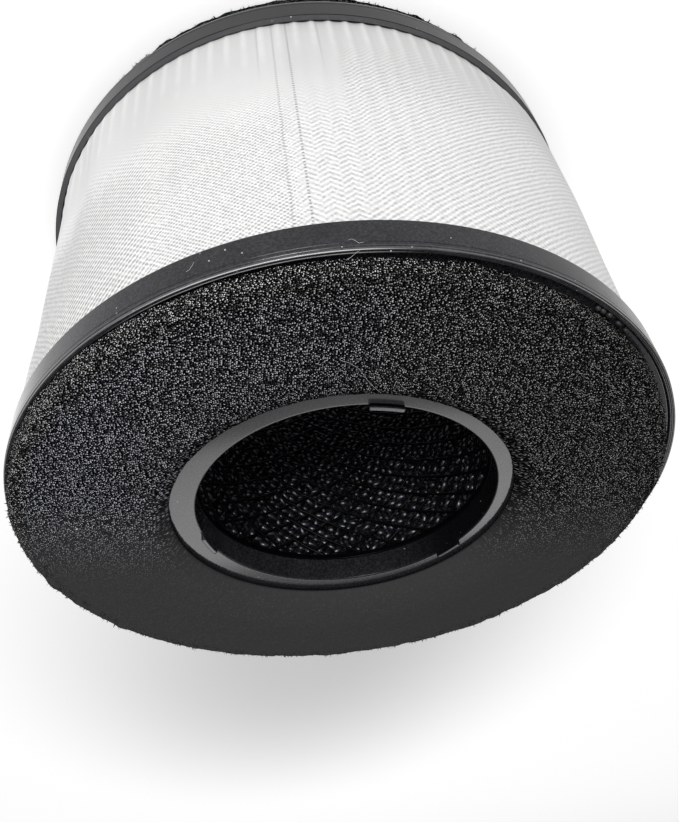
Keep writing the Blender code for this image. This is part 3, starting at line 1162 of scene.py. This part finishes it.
def makeCarbon():
    finish = carbonFinish()
    draw = random.Random(11)
    parts = []
    low, high = body["lowRim"] + carbon["inset"], body["rim"] - carbon["inset"]
    for number in range(carbon["count"]):
        angle = number * carbon["turn"]
        height = low + (high - low) * (number + 0.5) / carbon["count"]
        outwardWay = Vector((cos(angle), sin(angle), 0))
        around = Vector((-sin(angle), cos(angle), 0))
        tilt = draw.uniform(0, pi)
        lean = draw.uniform(-carbon["lean"], carbon["lean"])
        way = around * cos(tilt) + Vector((0, 0, 1)) * sin(tilt) + outwardWay * lean
        way.normalize()
        size = carbon["radius"] * draw.uniform(*carbon["size"])
        half = draw.uniform(*carbon["length"]) / 2
        out = carbon["inner"] + draw.uniform(0, carbon["scatter"])
        spot = outwardWay * out + Vector((0, 0, height))
        ends = [spot - way * half, spot - way * half * 0.8, spot + way * half * 0.8, spot + way * half]
        parts.append(tube(ends, [size * 0.6, size, size, size * 0.6], 6))
    piece("carbonPellets", joined("carbonPellets", parts), "carbon", finish, "carbon_bed")
    bottom, top, edge = low - carbon["backPast"], high + carbon["backPast"], 0.0004
    inner, outer = carbon["backInner"], carbon["backOuter"]
    corners = [(outer, bottom, edge), (outer, top, edge), (inner, top, edge), (inner, bottom, edge)]
    outline = respaced(eased(corners), 0.0012)
    points = turned(outline, 260)
    uneven = lumps(points, carbon["backLumpSize"]) * carbon["backLump"]
    points += outward(outline, 260) * uneven[..., None]
    piece("carbonBacking", skin("carbonBacking", points), "carbon", finish, "carbon_bed")


makeCore()
makeCarbon()


say("glue beads and dust")

# Pixels of the photograph
glueBeads = {
    "spots": ((598, 308), (603, 311), (609, 315), (618, 323), (625, 330)),
    "radius": 0.0007,
    "depth": 0.0008,
}
dust = {
    "skirtSpecks": ((209, 261), (242, 253), (342, 247), (391, 251), (451, 238), (225, 250), (412, 247)),
    "farSpecks": ((272, 21), (291, 17)),
    "foamSpecks": ((181, 451), (341, 289), (262, 318), (301, 349), (120, 402), (77, 529)),
    "speckRadius": 0.00016,
    "foamHair": ((340, 360), (349, 363), (358, 368), (364, 375), (368, 381), (374, 387), (381, 393)),
    "ringHair": ((197, 431), (203, 435), (210, 433), (216, 426)),
    "skirtHairs": (
        ((348, 240), (352, 239), (356, 241), (359, 243), (364, 242)),
        ((194, 262), (192, 266), (189, 270), (186, 272)),
        ((360, 250), (356, 253), (350, 258), (346, 260)),
    ),
    "hairRadius": 0.000032,
    "colour": (0.55, 0.55, 0.54),
    "pale": (0.8, 0.8, 0.8),
}


def bead(spot, size, draw):
    way = Vector([draw.uniform(-1, 1) for axis in range(3)]).normalized()
    ends = [spot + way * size * share for share in (-1, -0.6, 0, 0.6, 1)]
    return tube(ends, [size * share for share in (0.25, 0.8, 1, 0.8, 0.25)], 8)


def makeDust():
    draw = random.Random(5)
    level = body["rim"] - glueBeads["depth"]
    spots = [onLevel(pixel, level) for pixel in glueBeads["spots"]]
    beads = [bead(spot, glueBeads["radius"] * draw.uniform(0.8, 1.2), draw) for spot in spots]
    piece("glueBeads", joined("glueBeads", beads), "dark_glue", pouredGlue)
    lint = Finish("lint", {"Roughness": 0.8, "Specular IOR Level": 0.2})
    lint.use({"Base Color": lint.tint(lint.cloud(0.002), dust["colour"], dust["pale"])})
    wall, foamTop = body["capRadius"] + 0.0001, body["rim"] + foam["rise"] + 0.0002
    ring = body["rim"] - body["recess"] + 0.0001
    size, bits = dust["speckRadius"], []
    for pixel in (*dust["skirtSpecks"], *dust["farSpecks"]):
        bits.append(bead(onWall(pixel, wall), size * draw.uniform(0.7, 1.3), draw))
    for pixel in dust["foamSpecks"]:
        bits.append(bead(onLevel(pixel, foamTop), size * 1.4, draw))
    hairs = [[onLevel(pixel, foamTop) for pixel in dust["foamHair"]]]
    hairs += [[onLevel(pixel, ring) for pixel in dust["ringHair"]]]
    hairs += [[onWall(pixel, wall) for pixel in hair] for hair in dust["skirtHairs"]]
    bits += [tube(hair, [dust["hairRadius"]] * len(hair), 5) for hair in hairs]
    piece("lint", joined("lint", bits), None, lint)


say("inner layers")


layers = {
    "paper": ((0.70, 0.70, 0.685), (0.86, 0.86, 0.85)),
    "fibre": 0.0015,
    "glue": ((0.020, 0.020, 0.021), (0.040, 0.040, 0.042)),
    "glueGrain": 0.002,
}


def pleatPaper():
    finish = Finish("pleatPaper", {"Specular IOR Level": 0.2})
    fibre = finish.cloud(layers["fibre"], 5, 0.7)
    shade = finish.tint(fibre, *layers["paper"])
    normal = finish.bump(fibre, 0.00012, 0.6)
    finish.use({"Base Color": shade, "Roughness": 0.85 + fibre * 0.1, "Normal": normal})
    return finish


def glueFinish():
    finish = Finish("pouredGlue", {"Specular IOR Level": 0.5})
    shade = finish.tint(finish.cloud(0.003, 3), *layers["glue"])
    normal = finish.bump(finish.cloud(layers["glueGrain"], 2), 0.0002, 0.5)
    rough = 0.35 + finish.cloud(layers["glueGrain"]) * 0.2
    finish.use({"Base Color": shade, "Roughness": rough, "Normal": normal})
    return finish


pouredGlue = glueFinish()


def dress(node, finish):
    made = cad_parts[node]
    made.data.materials.clear()
    made.data.materials.append(finish.material)


dress("pleated_media", pleatPaper())
dress("carbon_net", corePlastic())
dress("top_glue", pouredGlue)
dress("bottom_glue", pouredGlue)
makeDust()


say("finishing")
